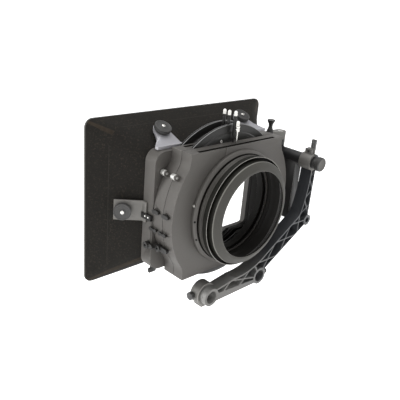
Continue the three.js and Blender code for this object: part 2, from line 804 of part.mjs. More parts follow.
// How far out the bulge lies at a height, and where its hardware sits
const bulgeX = (z) => Math.sqrt(bulgeRadius ** 2 - z ** 2);
const flankX = bulgeRadius + flankGap;
const innerClampX = bulgeX(clampZ + clampBossRadius) + flankGap;
const thumbReach = bulgeRadius + seat + thumbRadius;
const thumbCentre = [thumbReach * Math.cos(thumbAngle), thumbReach * Math.sin(thumbAngle)];
const thumbFronts = [seat - seamFront, seat - seamRear];

// A lug on the bulge that carries a thumb screw
function thumbLugPlate(front) {
  const root = [bulgeRadius * Math.cos(thumbAngle), bulgeRadius * Math.sin(thumbAngle)];
  const lugFront = front + thumbLength + seat;
  return cut(
    plate(strap(root, thumbCentre, thumbLugRadius), lugFront, lugFront + thumbLug),
    bar('y', thumbStemRadius + seat, lugFront - overrun, lugFront + thumbLug + overrun,
      [thumbCentre[0], 0, thumbCentre[1]], smallFacets),
  );
}

// A hole in the bulge for the stub of a link, catch or clamp
function stubHole(radius, [y, z]) {
  return bar('x', radius + seat, bulgeX(z) - stubDepth - seat, flankX + overrun, [0, y, z], smallFacets);
}

// A stud on the bulge that a clamp's free end rests over
function clampStud(x, y) {
  return bar('x', clampStubRadius, bulgeX(clampZ) - stubDepth, x - seat, [0, y, clampZ], smallFacets);
}

function pinSocket(i) {
  return bar('z', pinStemRadius + seat, stageHalfHeight - pinStemDepth - seat, stageHalfHeight + overrun,
    [0, pinYs[i], 0], smallFacets);
}

function traySlot(back) {
  return block([-slotHalfWidth, -back - slotThickness, -slotDepth],
    [slotHalfWidth, -back, stageHalfHeight + overrun]);
}

// A shallow recess in the rear plate, round at its lower end and open at the top
function recessShape() {
  const radius = (recessRight - recessLeft) / 2;
  const middle = recessLeft + radius;
  return strap([middle, recessBottom + radius], [middle, stageHalfHeight + radius + overrun], radius);
}

function filterStage() {
  const recess = seamRear + seat + 2 * discRunGap + discThickness;
  return cut(
    join(
      cut(
        plate(stageShape(), -seamFront, -seamRear - seat, bulgeSteps),
        bar('y', stageAperture, -seamFront - overrun, -seamRear, [0, 0, 0], ringFacets),
        discRecess(recess, -seamRear),
        traySlot(recess + slotWeb),
      ),
      thumbLugPlate(thumbFronts[0]),
      clampStud(flankX, clampYs[0] + clampReaches[0]),
    ),
    stubHole(linkStubRadius, [linkYs[0], linkZ]),
    mirrored(stubHole(linkStubRadius, [linkYs[0], linkZ])),
    stubHole(linkStubRadius, [catchYs[0], catchZ]),
    stubHole(clampStubRadius, [clampYs[1], clampZ]),
    pinSocket(0),
    pinSocket(1),
  );
}

function rearStage() {
  return cut(
    join(
      cut(
        plate(stageShape(), -seamRear, 0, bulgeSteps),
        bar('y', rearAperture, -seamRear - overrun, overrun, [0, 0, 0], ringFacets),
        traySlot(rearSlotWall),
        plate(recessShape(), -recessDepth, overrun, bulgeSteps),
      ),
      thumbLugPlate(thumbFronts[1]),
      clampStud(innerClampX, clampYs[1] + clampReaches[1]),
    ),
    stubHole(linkStubRadius, [linkYs[1], linkZ]),
    mirrored(stubHole(linkStubRadius, [linkYs[1], linkZ])),
    stubHole(linkStubRadius, [catchYs[1], catchZ]),
    pinSocket(2),
    pinSocket(3),
  );
}
node(box, 'filter_stage', filterStage(), plateGrey);
node(box, 'rear_stage', rearStage(), plateGrey);

// Stage pins: each stands on a thin stem in the plate's top edge, under a white cap
function stagePin(i) {
  const shoulder = pinTops[i] - pinCapLength;
  const stem = (low, high) => bar('z', pinStemRadius, low, high, [0, pinYs[i], 0], smallFacets);
  return join(
    stem(stageHalfHeight - pinStemDepth, shoulder + pinCapLength / 2),
    bar('z', pinRadii[i], pinFeet[i], shoulder, [0, pinYs[i], 0], smallFacets),
  );
}

function stagePinCap(i) {
  const base = pinTops[i] - pinCapLength + seat;
  const radius = pinRadii[0];
  return cut(
    turned([
      [0, base], [radius, base], [radius, pinTops[i] - pinStemRadius],
      [radius - pinStemRadius, pinTops[i]], [0, pinTops[i]],
    ], [0, 0, 1], [0, pinYs[i], 0], smallFacets),
    bar('z', pinStemRadius + seat, base - overrun, base + pinCapLength / 2, [0, pinYs[i], 0], smallFacets),
  );
}
pinYs.forEach((_, i) => {
  node(box, `stage_pin_${i + 1}`, stagePin(i), i < pinYs.length - 1 ? partBlack : steel);
  node(box, `stage_pin_cap_${i + 1}`, stagePinCap(i), white);
});

// Thumb screws: a bright round head in front of its lug, with a stem through the lug
thumbFronts.forEach((front, i) => {
  const place = [thumbCentre[0], 0, thumbCentre[1]];
  node(box, `thumb_screw_${i + 1}`, join(
    bar('y', thumbRadius, front, front + thumbLength, place),
    bar('y', thumbStemRadius, front + thumbLength / 2, front + thumbLength + seat + thumbLug, place, smallFacets),
  ), steel);
});

// Links, catches and clamps on the flanks, each with a stub in the plate behind it
function link(y) {
  const free = y - linkLength;
  const back = flankX + linkThickness;
  return join(
    bar('x', linkEndRadius, flankX, back, [0, y, linkZ], smallFacets),
    bar('x', linkEndRadius, flankX, back, [0, free, linkZ], smallFacets),
    block([flankX, free, linkZ - linkWaist], [back, y, linkZ + linkWaist]),
    bar('x', linkStubRadius, bulgeX(linkZ) - stubDepth, back - linkThickness / 2, [0, y, linkZ], smallFacets),
  );
}

function trayCatch(y) {
  return join(
    sideways(strap([y, catchZ], [y - catchLength, catchZ], catchEndRadius), flankX, flankX + catchThickness),
    bar('x', linkStubRadius, bulgeX(catchZ) - stubDepth, flankX + catchThickness / 2, [0, y, catchZ], smallFacets),
  );
}

function stageClamp(x, stubEnd, y, reach) {
  return cut(
    join(
      bar('x', clampBossRadius, x, x + clampBossThickness, [0, y, clampZ], smallFacets),
      sideways(strap([y, clampZ], [y + reach, clampZ], clampArmRadius), x, x + clampArmThickness),
      bar('x', clampStubRadius, stubEnd, x + clampBossThickness / 2, [0, y, clampZ], smallFacets),
    ),
    bar('x', clampSocketRadius, x + clampBossThickness - clampSocketDepth, x + clampBossThickness + overrun,
      [0, y, clampZ], socketSides),
  );
}
linkYs.forEach((y, i) => {
  node(box, `stage_link_left_${i + 1}`, link(y), partBlack);
  node(box, `stage_link_right_${i + 1}`, mirrored(link(y)), partBlack);
});
catchYs.forEach((y, i) => node(box, `tray_catch_${i + 1}`, trayCatch(y), partBlack));
node(box, 'stage_clamp_1',
  stageClamp(frameHalfWidth + flankGap, frameHalfWidth - stubDepth, clampYs[0], clampReaches[0]), partBlack);
node(box, 'stage_clamp_2',
  stageClamp(innerClampX, bulgeX(clampZ) - stubDepth, clampYs[1], clampReaches[1]), partBlack);

// Side flag tabs: bent sheet on the frame's flank, with a round knob near the free end
const tabRun = [Math.cos(sideTabAngle), Math.sin(sideTabAngle)];
const tabNormal = [-tabRun[1], tabRun[0]];
const tabX = frameHalfWidth + seat;
const tabBend = [tabX, -frameFront - seat];
const tabMiddle = sideTabBottom + sideTabHeight / 2;
const tabPoint = (along, out) => [0, 1].map((k) => tabBend[k] + along * tabRun[k] + out * tabNormal[k]);

function knobHole(thickness, direction, origin) {
  const radius = knobShankRadius + seat;
  const length = thickness + 2 * overrun;
  return turned([[0, 0], [radius, 0], [radius, length], [0, length]], direction, origin, roundFacets);
}

function flagKnob(thickness, direction, origin) {
  const inner = -seat - thickness - knobShankReach;
  const top = seat + knobLength;
  return turned([
    [0, inner], [knobShankRadius, inner], [knobShankRadius, seat], [knobNeck, seat],
    [knobNeck, seat + knobNeckLength], [knobRadius, 2 * seat + knobNeckLength],
    [knobRadius, top - knobChamfer], [knobRadius - knobChamfer, top], [knobScrewRadius, top],
    [knobScrewRadius, top + knobScrewLength], [0, top + knobScrewLength],
  ], direction, origin, roundFacets);
}

function sideTab() {
  const bend = sideTabThickness * (1 - tabNormal[0]) / tabRun[0];
  const outline = polygon([
    [tabX, tabBend[1] + sideTabFoot], [tabX, tabBend[1]], tabPoint(sideTabLength, 0),
    tabPoint(sideTabLength, sideTabThickness), tabPoint(bend, sideTabThickness),
    [tabX + sideTabThickness, tabBend[1] + sideTabFoot],
  ]);
  return cut(
    upwards(outline, sideTabBottom, sideTabBottom + sideTabHeight),
    knobHole(sideTabThickness, [...tabNormal, 0], [...tabPoint(sideTabKnobAt, -overrun), tabMiddle]),
  );
}

function sideKnob() {
  return flagKnob(sideTabThickness, [...tabNormal, 0],
    [...tabPoint(sideTabKnobAt, sideTabThickness), tabMiddle]);
}

// Top flag brackets: a foot on the frame, then a tapering ramp above the hood
const rampRun = [-Math.cos(topFlagAngle), Math.sin(topFlagAngle)];
const rampNormal = [Math.sin(topFlagAngle), Math.cos(topFlagAngle)];
const footZ = frameHalfHeight + seat;
const rampPoint = (along, out) => [
  topFlagFootFront + along * rampRun[0] + out * rampNormal[0],
  footZ + along * rampRun[1] + out * rampNormal[1],
];

function topBracket() {
  const length = topFlagKnobAt + topFlagEndRadius + overrun;
  const bend = topFlagThickness * Math.tan(topFlagAngle / 2);
  const sheet = sideways(polygon([
    [topFlagFootRear, footZ], [topFlagFootFront, footZ], rampPoint(length, 0), rampPoint(length, topFlagThickness),
    rampPoint(bend, topFlagThickness), [topFlagFootRear, footZ + topFlagThickness],
  ]), topFlagInner - overrun, topFlagOuter + overrun);
  const knobY = rampPoint(topFlagKnobAt, topFlagThickness)[0];
  const endX = topFlagKnobX + topFlagEndRadius;
  const plan = new THREE.Shape();
  plan.moveTo(topFlagOuter, topFlagFootRear);
  plan.lineTo(topFlagInner, topFlagFootRear);
  plan.lineTo(topFlagInner, topFlagFootFront);
  plan.absarc(topFlagKnobX, knobY, topFlagEndRadius, -Math.PI, 0);
  plan.lineTo(
    topFlagOuter + (endX - topFlagOuter) * topFlagShoulderShare[0],
    topFlagFootFront + (knobY - topFlagFootFront) * topFlagShoulderShare[1],
  );
  plan.lineTo(topFlagOuter, topFlagFootFront);
  plan.closePath();
  return cut(
    sheet.intersect(upwards(plan, footZ - overrun, footZ + length + topFlagThickness, bulgeSteps)),
    knobHole(topFlagThickness, [0, ...rampNormal], [topFlagKnobX, ...rampPoint(topFlagKnobAt, -overrun)]),
  );
}

function topKnob() {
  return flagKnob(topFlagThickness, [0, ...rampNormal],
    [topFlagKnobX, ...rampPoint(topFlagKnobAt, topFlagThickness)]);
}

['left', 'right'].forEach((name) => {
  const place = (body) => (name === 'right' ? mirrored(body) : body);
  node(box, `side_flag_tab_${name}`, place(sideTab()), plateGrey);
  node(box, `side_flag_knob_${name}`, place(sideKnob()), partBlack);
  node(box, `top_flag_bracket_${name}`, place(topBracket()), plateGrey);
  node(box, `top_flag_knob_${name}`, place(topKnob()), partBlack);
});

// Index plate: it laps over the foot of the side tab
function indexPlate() {
  return cut(
    block([tabX, indexFront, indexTop - indexHeight], [tabX + indexThickness, -frameRear - seat, indexTop]),
    block([tabX - overrun, indexFront - overrun, indexTop - indexHeight - overrun],
      [tabX + sideTabThickness + seat, indexFront + indexRebate, indexTop + overrun]),
  );
}
node(box, 'index_plate', indexPlate(), partBlack);

// Bottom lever: a wing on a stem under the frame
function bottomLever() {
  const top = -frameHalfHeight - seat;
  const wingTop = top - bottomLeverNeck;
  const middle = wingTop - bottomLeverHeight / 2;
  return join(
    bar('z', bottomLeverStem, middle, bottomLeverDepth - frameHalfHeight, [bottomLeverX, bottomLeverY, 0]),
    bar('z', bottomLeverNeck, middle, top, [bottomLeverX, bottomLeverY, 0]),
    block([bottomLeverX - bottomLeverHalf, bottomLeverY - bottomLeverWing, wingTop - bottomLeverHeight],
      [bottomLeverX + bottomLeverHalf, bottomLeverY + bottomLeverWing, wingTop]),
  );
}
node(box, 'bottom_lever', bottomLever(), partBlack);

// Rotating discs: a rim to turn by, a raised land and a seat for a round filter
function rotatingDisc(rear) {
  const front = rear + discThickness;
  return turned([
    [discBore, -front], [discRadius, -front], [discRadius, -rear - discLandDepth],
    [discLandRadius, -rear - discLandDepth], [discLandRadius - discLandDepth, -rear],
    [discSeatRadius, -rear], [discSeatRadius, -rear - discSeatDepth], [discBore, -rear - discSeatDepth],
  ]);
}
node(box, 'rotating_disc_front', rotatingDisc(frameRear + discRunGap), partBlack);
node(box, 'rotating_disc_rear', rotatingDisc(seamRear + seat + discRunGap), partBlack);

// Lens side: collar, ring and barrel
const collarBore = rearAperture + collarBoreStep;
const collarRadius = collarBore + collarWall;
node(box, 'rear_collar', turned([
  [collarBore, seat], [collarRadius, seat], [collarRadius, collarBand],
  [collarRadius - collarFaceStep, collarDepth], [collarBore, collarDepth],
]), plateGrey);

const ringFront = collarDepth + seat;
const lensRingRadius = collarRadius - lensRingStep;
const ringNeck = lensRingRadius - lensRingGroove;
const ringBore = lensRingRadius - lensRingWall;
node(box, 'lens_ring', turned([
  [ringBore, ringFront], [ringNeck, ringFront], [ringNeck, ringFront + lensRingGroove],
  [lensRingRadius, ringFront + lensRingGroove], [lensRingRadius, lensRingBack], [ringBore, lensRingBack],
]), castGrey);

const barrelRadius = lensRingRadius + barrelFlare;
const barrelBore = barrelRadius - barrelWall;
const barrelNeck = barrelRadius - barrelNeckStep;
const barrelLipRadius = barrelRadius - barrelLipStep;
const barrelMouth = barrelLipRadius - barrelLipWidth;
node(box, 'lens_barrel', turned([
  [barrelBore, lensRingBack + seat], [barrelNeck, lensRingBack + seat], [barrelNeck, barrelShoulder],
  [barrelRadius, barrelShoulder], [barrelRadius, barrelEdge], [barrelRadius - barrelBreakStep, barrelBreak],
  [barrelLipRadius, barrelBack], [barrelMouth, barrelBack], [barrelMouth, barrelBack - barrelLip],
  [barrelBore, barrelEdge],
]), rubber);

// Collar screws: radial, evenly spaced round the collar's band
for (let i = 0; i < collarScrewCount; i += 1) {
  const angle = collarScrewAngle + i * 2 * Math.PI / collarScrewCount;
  const start = collarRadius + seat;
  node(box, `collar_screw_${i + 1}`, turned([
    [0, start], [collarScrewRadius, start], [collarScrewRadius, start + collarScrewHead],
    [0, start + collarScrewHead],
  ], [Math.cos(angle), 0, Math.sin(angle)], [0, (seat + collarBand) / 2, 0], smallFacets), steel);
}

export default part;
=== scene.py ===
import json
import math

import bmesh
import bpy
from mathutils import Matrix, Vector


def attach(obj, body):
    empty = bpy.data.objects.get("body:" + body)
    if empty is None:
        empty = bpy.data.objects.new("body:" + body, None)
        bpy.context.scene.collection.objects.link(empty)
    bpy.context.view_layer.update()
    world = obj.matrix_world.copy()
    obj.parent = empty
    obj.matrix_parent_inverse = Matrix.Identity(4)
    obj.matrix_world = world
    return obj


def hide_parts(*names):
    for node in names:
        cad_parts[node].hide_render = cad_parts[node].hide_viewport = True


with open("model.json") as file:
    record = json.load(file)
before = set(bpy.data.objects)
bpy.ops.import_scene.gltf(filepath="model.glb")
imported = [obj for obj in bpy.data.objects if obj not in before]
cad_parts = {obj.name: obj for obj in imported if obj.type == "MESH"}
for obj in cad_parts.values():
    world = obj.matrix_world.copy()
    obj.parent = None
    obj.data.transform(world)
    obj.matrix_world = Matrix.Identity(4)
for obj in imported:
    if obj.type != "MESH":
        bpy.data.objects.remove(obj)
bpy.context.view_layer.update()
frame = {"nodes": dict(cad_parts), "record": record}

NODES = frame["nodes"]
BODY_OF = {node: body for body, nodes in frame["record"]["behaviour"]["bodies"].items() for node in nodes}
SLOT_OF = {part["node"]: part["material_slot"] for part in frame["record"]["subparts"]}

# The object's sizes are in millimetres. Its places count from the lens axis at the rear plate's back, with
# the hood towards -Y and the top towards +Z. BOX is that point in the frame, whose own unit is the metre.
BOX = Vector((0, -22.6, 121))
MM_PER_METRE = 1000


# Finishes

# The sockets of a node that mixes two colours
FACTOR, FIRST, SECOND, RESULT = 0, 6, 7, 2
SPECK_BLUR = 0.12
ROUGH_SPREAD = 0.08
LEAST_ROUGH = 0.02
GRAIN_HEIGHT = 0.0003
# Edges are lighter in patches, partly as wear and partly as painted highlight: the patches' scale, the gain,
# and the share of the gain on the darker clouds
WEAR_HIGHLIGHT_CLOUDS = 160.0
WEAR_HIGHLIGHT_GAIN = 2.3
WEAR_HIGHLIGHT_LOW_SHARE = 0.3


def socket(node, name, value):
    node.inputs[name].default_value = value


def colour(values):
    return (*values, 1.0)


def scaled(values, gain):
    """A colour made lighter or darker."""
    return colour([min(1, c * gain) for c in values[:3]])


def noise(tree, name, source, scale, detail, roughness):
    node = tree.nodes.new("ShaderNodeTexNoise")
    node.name = name
    socket(node, "Scale", scale)
    socket(node, "Detail", detail)
    socket(node, "Roughness", roughness)
    tree.links.new(source, node.inputs["Vector"])
    return node.outputs["Fac"]


def mixed(tree, name, factor, first, second):
    """Goes from the first colour to the second as the factor does. The first may be a node's output."""
    node = tree.nodes.new("ShaderNodeMix")
    node.name = name
    node.data_type = "RGBA"
    tree.links.new(factor, node.inputs[FACTOR])
    if isinstance(first, tuple):
        node.inputs[FIRST].default_value = first
    else:
        tree.links.new(first, node.inputs[FIRST])
    node.inputs[SECOND].default_value = second
    return node.outputs[RESULT]


def surface(name, base, rough, metallic=0.0, grain=900.0, bump=0.12, variation=0.12, cloud=45.0,
            specular=0.5, speck=None, shade_fade=None):
    """A finish in object space: broad colour clouds, and fine grain in roughness and bump.
    speck = (share, colour) sets specks of another colour into it by the grain.
    shade_fade = (x, x, colour) turns it to another colour along the frame's X, in metres, as painted shade."""
    material = bpy.data.materials.new(name)
    material.use_nodes = True
    tree = material.node_tree
    link = tree.links.new
    shader = tree.nodes["Principled BSDF"]
    socket(shader, "Metallic", metallic)
    socket(shader, "Specular IOR Level", specular)
    place = tree.nodes.new("ShaderNodeTexCoord").outputs["Object"]
    clouds = noise(tree, "clouds", place, cloud, detail=4.0, roughness=0.6)
    fine = noise(tree, "grain", place, grain, detail=3.0, roughness=0.7)
    dark, light = scaled(base, 1 - variation), scaled(base, 1 + variation)
    painted = mixed(tree, "cloud_colours", clouds, dark, light)
    if speck:
        share, speck_colour = speck
        ramp = tree.nodes.new("ShaderNodeValToRGB")
        ramp.color_ramp.elements[0].position = share
        ramp.color_ramp.elements[1].position = share + SPECK_BLUR
        link(fine, ramp.inputs["Fac"])
        painted = mixed(tree, "specks", ramp.outputs["Color"], painted, colour(speck_colour))
    # Painted shade: the colour darkens along the frame's X
    if shade_fade:
        start, end, shade_colour = shade_fade
        split = tree.nodes.new("ShaderNodeSeparateXYZ")
        link(place, split.inputs["Vector"])
        along = tree.nodes.new("ShaderNodeMapRange")
        socket(along, "From Min", start)
        socket(along, "From Max", end)
        link(split.outputs["X"], along.inputs["Value"])
        painted = mixed(tree, "shade_fade", along.outputs["Result"], painted, colour(shade_colour))
    link(painted, shader.inputs["Base Color"])
    spread = tree.nodes.new("ShaderNodeMapRange")
    socket(spread, "To Min", max(LEAST_ROUGH, rough - ROUGH_SPREAD))
    socket(spread, "To Max", min(1.0, rough + ROUGH_SPREAD))
    link(fine, spread.inputs["Value"])
    link(spread.outputs["Result"], shader.inputs["Roughness"])
    relief = tree.nodes.new("ShaderNodeBump")
    socket(relief, "Strength", bump)
    socket(relief, "Distance", GRAIN_HEIGHT)
    link(fine, relief.inputs["Height"])
    link(relief.outputs["Normal"], shader.inputs["Normal"])
    return material


def worn_and_highlit(name, material):
    """The same finish, rubbed lighter in patches, for edges: partly wear, partly painted highlight."""
    copy = material.copy()
    copy.name = name
    nodes = copy.node_tree.nodes
    socket(nodes["clouds"], "Scale", WEAR_HIGHLIGHT_CLOUDS)
    low = nodes["cloud_colours"].inputs[FIRST]
    high = nodes["cloud_colours"].inputs[SECOND]
    low.default_value = scaled(low.default_value, 1 + (WEAR_HIGHLIGHT_GAIN - 1) * WEAR_HIGHLIGHT_LOW_SHARE)
    high.default_value = scaled(high.default_value, WEAR_HIGHLIGHT_GAIN)
    return copy


# The finish of each of the record's material slots
RECIPES = {
    # The arm's grey darkens towards -X: painted shade and a painted reflection of the dark casing
    "arm_grey": dict(base=(0.135, 0.132, 0.125), rough=0.45, metallic=0.35, bump=0.1, variation=0.08,
                     cloud=30, shade_fade=(0.0, -0.1, (0.075, 0.078, 0.082))),
    "cast_grey": dict(base=(0.14, 0.135, 0.126), rough=0.48, metallic=0.3, variation=0.08, cloud=35),
    "plate_grey": dict(base=(0.084, 0.0785, 0.072), rough=0.5, metallic=0.25, variation=0.06, cloud=25),
    "part_black": dict(base=(0.012, 0.0115, 0.0105), rough=0.36, bump=0.08, variation=0.15, specular=0.4),
    "knob_black": dict(base=(0.035, 0.034, 0.033), rough=0.38, bump=0.08, variation=0.15, specular=0.5),
    "hood_black": dict(base=(0.0105, 0.0095, 0.008), rough=0.75, grain=420, bump=0.35, variation=0.2,
                       cloud=60, specular=0.16, speck=(0.54, (0.026, 0.0215, 0.016))),
    "steel": dict(base=(0.72, 0.71, 0.68), rough=0.26, metallic=1.0, bump=0.05, variation=0.06),
    "white_cap": dict(base=(0.82, 0.81, 0.77), rough=0.35, bump=0.04, variation=0.04),
    "rubber": dict(base=(0.036, 0.034, 0.029), rough=0.5, grain=700, bump=0.15, variation=0.12,
                   specular=0.4),
}
FINISHES = {name: surface(name, **recipe) for name, recipe in RECIPES.items()}
# Each finish's edges, lighter as wear and as painted highlight
EDGES = {name: worn_and_highlit(name + "_edge", finish) for name, finish in FINISHES.items()}

# Other finishes, for a part of a piece or for one piece of its slot
TUBE_DARK = surface("tube_dark", (0.022, 0.0215, 0.0222), 0.4, metallic=0.35, bump=0.08, variation=0.08,
                    cloud=30)
# Painted shade on the hinge post's sides
POST_SHADE = surface("post_shade", (0.016, 0.0155, 0.015), 0.42, bump=0.1, variation=0.15, specular=0.35)
SCUFFED = surface("hood_scuff", (0.026, 0.02, 0.014), 0.75, grain=420, bump=0.35, variation=0.6, cloud=120,
                  specular=0.16)
BRACKET_GREY = surface("bracket_grey", (0.33, 0.327, 0.348), 0.45, metallic=0.3, variation=0.08, cloud=35)
# Painted light on the arm's upper and casing-facing faces, fading towards -X to painted shade and a painted
# reflection of the dark casing
LIT_SHADED_BAND = surface("arm_lit_shaded_band", (0.21, 0.207, 0.198), 0.42, metallic=0.25, variation=0.1, cloud=30,
               shade_fade=(0.0, -0.07, (0.034, 0.036, 0.04)))
# Painted highlight on edges inside the lens port and on the barrel's steps
INNER_EDGE_HIGHLIGHT = surface("inner_edge_highlight", (0.07, 0.068, 0.064), 0.4, grain=700, variation=0.4, cloud=160)
# Painted shade on the barrel's sides
BARREL_SIDE_SHADE = surface("barrel_side_shade", (0.009, 0.0088, 0.0068), 0.5, grain=700, bump=0.12, specular=0.13)
BARREL_CONE = surface("barrel_cone", (0.048, 0.046, 0.04), 0.55, grain=700, bump=0.12, variation=0.08,
                      specular=0.3)
# Painted highlight on the barrel's lips
BARREL_LIP_HIGHLIGHT = surface("barrel_lip_highlight", (0.13, 0.126, 0.112), 0.45, grain=700, bump=0.1, variation=0.3,
                     specular=0.4)
RING_GREY = surface("ring_grey", (0.07, 0.066, 0.06), 0.42, metallic=0.3, grain=700, variation=0.1)
# Painted highlight on the filter discs' rims
DISC_RIM_HIGHLIGHT = surface("disc_rim_highlight", (0.2, 0.2, 0.2), 0.35, metallic=0.5, variation=0.5, cloud=160)
THUMB_BRIGHT = surface("thumb_bright", (0.6, 0.595, 0.57), 0.3, metallic=0.75, bump=0.05, variation=0.06)
INNER_BLACK = surface("inner_black", (0.0085, 0.0078, 0.0068), 0.55, bump=0.1, specular=0.1)
SEAM_DARK = surface("seam_dark", (0.006, 0.006, 0.006), 0.8, bump=0.1, specular=0.1)
SCREEN_BLACK = surface("stage_black", (0.012, 0.0115, 0.011), 0.42, bump=0.1, specular=0.3)


# Tools for all pieces

# Folds of more degrees than this stay sharp in the shading, and dressed nodes are rounded there
DRESSED_FOLD = 40.0
TURNED_FOLD = 35.0
WINDOW_CORNER_STEPS = 6


def add_object(name, mesh, body, replaces, fold):
    """Makes a mesh a smooth-shaded piece that rides on a body, and hides the nodes it replaces."""
    mesh.polygons.foreach_set("use_smooth", [True] * len(mesh.polygons))
    mesh.set_sharp_from_angle(angle=math.radians(fold))
    thing = bpy.data.objects.new(name, mesh)
    bpy.context.scene.collection.objects.link(thing)
    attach(thing, body)
    if replaces:
        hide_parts(*replaces)


def coat_number(coats, coat):
    """A coat's number in the list of a piece's materials, which it joins when it is new."""
    if coat not in coats:
        coats.append(coat)
    return coats.index(coat)


def window_bar(near, far, half_width, half_height, corner):
    """A bar along Y from near to far with rounded corners, to cut a window with."""
    outline = []
    for quarter, (sx, sz) in enumerate(((1, 1), (-1, 1), (-1, -1), (1, -1))):
        for k in range(WINDOW_CORNER_STEPS + 1):
            turn = math.radians(90 * quarter + 90 / WINDOW_CORNER_STEPS * k)
            outline.append((sx * (half_width - corner) + corner * math.cos(turn),
                            sz * (half_height - corner) + corner * math.sin(turn)))
    build = bmesh.new()
    ends = []
    for y in (far, near):
        ends.append([build.verts.new((Vector((x, y, z)) + BOX) / MM_PER_METRE) for x, z in outline])
    build.faces.new(ends[0])
    build.faces.new(ends[1][::-1])
    for k in range(len(outline)):
        j = (k + 1) % len(outline)
        build.faces.new((ends[0][k], ends[0][j], ends[1][j], ends[1][k]))
    bmesh.ops.recalc_face_normals(build, faces=build.faces)
    bar = bpy.data.meshes.new("window_bar")
    build.to_mesh(bar)
    build.free()
    return bar


def windowed(mesh, *window):
    """A new mesh: this one with a window through it, whose walls are black."""
    bar = window_bar(*window)
    mesh.materials.append(INNER_BLACK)
    for material in mesh.materials:
        bar.materials.append(material)
    bar.polygons.foreach_set("material_index", [len(mesh.materials) - 1] * len(bar.polygons))
    target = bpy.data.objects.new("window_target", mesh)
    cutter = bpy.data.objects.new("window_cutter", bar)
    for thing in (target, cutter):
        bpy.context.scene.collection.objects.link(thing)
    cut = target.modifiers.new("window", "BOOLEAN")
    cut.operation = "DIFFERENCE"
    cut.solver = "EXACT"
    cut.object = cutter
    graph = bpy.context.evaluated_depsgraph_get()
    opened = bpy.data.meshes.new_from_object(target.evaluated_get(graph), depsgraph=graph)
    for thing in (target, cutter):
        bpy.data.objects.remove(thing)
    return opened


# Dressed nodes: the CAD's own shapes with rounded edges

# Points this near to each other, in metres, become one, and so do faces that meet at less than this angle
WELD = 2e-6
FLAT_ANGLE = 0.6
# Shorter edges aren't rounded, nor are edges that end at a shorter neighbour
LEAST_EDGE = 1.2
LEAST_NEIGHBOUR = 0.48
# Where a node asks for it, flatter folds are rounded too, if they are this long
LONG_FOLD_ANGLE = 3.0
LONG_FOLD_LENGTH = 100.0
ROUNDING_PROFILE = 0.6
EDGE_COAT = 1


def is_rounded(edge, long_folds):
    """Whether an edge is long enough, folded enough and clear of tiny neighbours."""
    length = edge.calc_length() * MM_PER_METRE
    if len(edge.link_faces) != 2 or length < LEAST_EDGE:
        return False
    fold = math.degrees(edge.calc_face_angle(0))
    is_long_fold = long_folds and fold > LONG_FOLD_ANGLE and length > LONG_FOLD_LENGTH
    if fold <= DRESSED_FOLD and not is_long_fold:
        return False
    neighbours = [other for vert in edge.verts for other in vert.link_edges]
    return all(other.calc_length() * MM_PER_METRE > LEAST_NEIGHBOUR for other in neighbours)


def dressed(node, width=0.4, segments=2, paint=None, window=None, long_folds=False):
    """A node's own shape in its finish, with rounded edges in the edge finish, lighter as wear and as
    painted highlight.
    paint(middle, normal, is edge) gives a face another finish, or None."""
    shape = NODES[node].data
    if window:
        shape = windowed(shape.copy(), *window)
    build = bmesh.new()
    build.from_mesh(shape)
    for face in build.faces:
        face.material_index = 0
    bmesh.ops.remove_doubles(build, verts=build.verts, dist=WELD)
    bmesh.ops.dissolve_limit(build, angle_limit=math.radians(FLAT_ANGLE), verts=build.verts,
                             edges=build.edges)
    chosen = [edge for edge in build.edges if is_rounded(edge, long_folds)]
    if chosen:
        bmesh.ops.bevel(build, geom=chosen, offset=width / MM_PER_METRE, offset_type="OFFSET",
                        segments=segments, profile=ROUNDING_PROFILE, affect="EDGES", clamp_overlap=True,
                        material=EDGE_COAT, miter_outer="SHARP")
    mesh = bpy.data.meshes.new(node + "_dressed")
    build.normal_update()
    build.to_mesh(mesh)
    build.free()
    slot = SLOT_OF[node]
    coats = [FINISHES[slot], EDGES[slot]]
    if paint:
        for face in mesh.polygons:
            coat = paint(face.center * MM_PER_METRE - BOX, face.normal, face.material_index == EDGE_COAT)
            if coat:
                face.material_index = coat_number(coats, coat)
    for coat in coats:
        mesh.materials.append(coat)
    add_object(node + "_body", mesh, BODY_OF[node], (node,), DRESSED_FOLD)


# The joints between the casing's three plates, as places along Y
SEAMS = (-18.45, -38.15)
SEAM_FACE_REACH = 0.5
SEAM_EDGE_REACH = 1.4
# The casing's inside reaches this far sideways, upwards and outwards from the lens axis, and this far back
INSIDE_HALF_WIDTH = 90.6
INSIDE_HALF_HEIGHT = 84.8
INSIDE_RADIUS = 114
INSIDE_BACK = -0.6
# Edges nearer to the axis than this are round the lens port, and get a painted highlight
PORT_EDGE_RADIUS = 73
# The recess in the rear plate's face keeps the plate's finish
RECESS_SIDES = (26.5, 44.5)
RECESS_LOW = 72.5
RECESS_FLOOR = -1.35
# A normal that leans further than this towards an axis faces it
FACING = 0.9


def case_paint(middle, normal, on_edge):
    """Dark joints between the casing plates, black walls inside their apertures and slots, and a painted
    highlight on the edges round the lens port.
    """
    if RECESS_SIDES[0] < middle.x < RECESS_SIDES[1] and middle.z > RECESS_LOW and middle.y > RECESS_FLOOR:
        return None
    radius = middle.xz.length
    outside = max(abs(middle.x) - INSIDE_HALF_WIDTH, abs(middle.z) - INSIDE_HALF_HEIGHT,
                  radius - INSIDE_RADIUS)
    joint = min(abs(middle.y - seam) for seam in SEAMS)
    if normal.y < -FACING and joint < SEAM_FACE_REACH and not on_edge:
        return INNER_BLACK
    if outside < 0 and SEAMS[1] < middle.y < INSIDE_BACK:
        # Edges round the lens port get a painted highlight
        return INNER_EDGE_HIGHLIGHT if on_edge and radius < PORT_EDGE_RADIUS else INNER_BLACK
    if outside > 0 and joint < SEAM_EDGE_REACH and on_edge:
        return SEAM_DARK
    return None


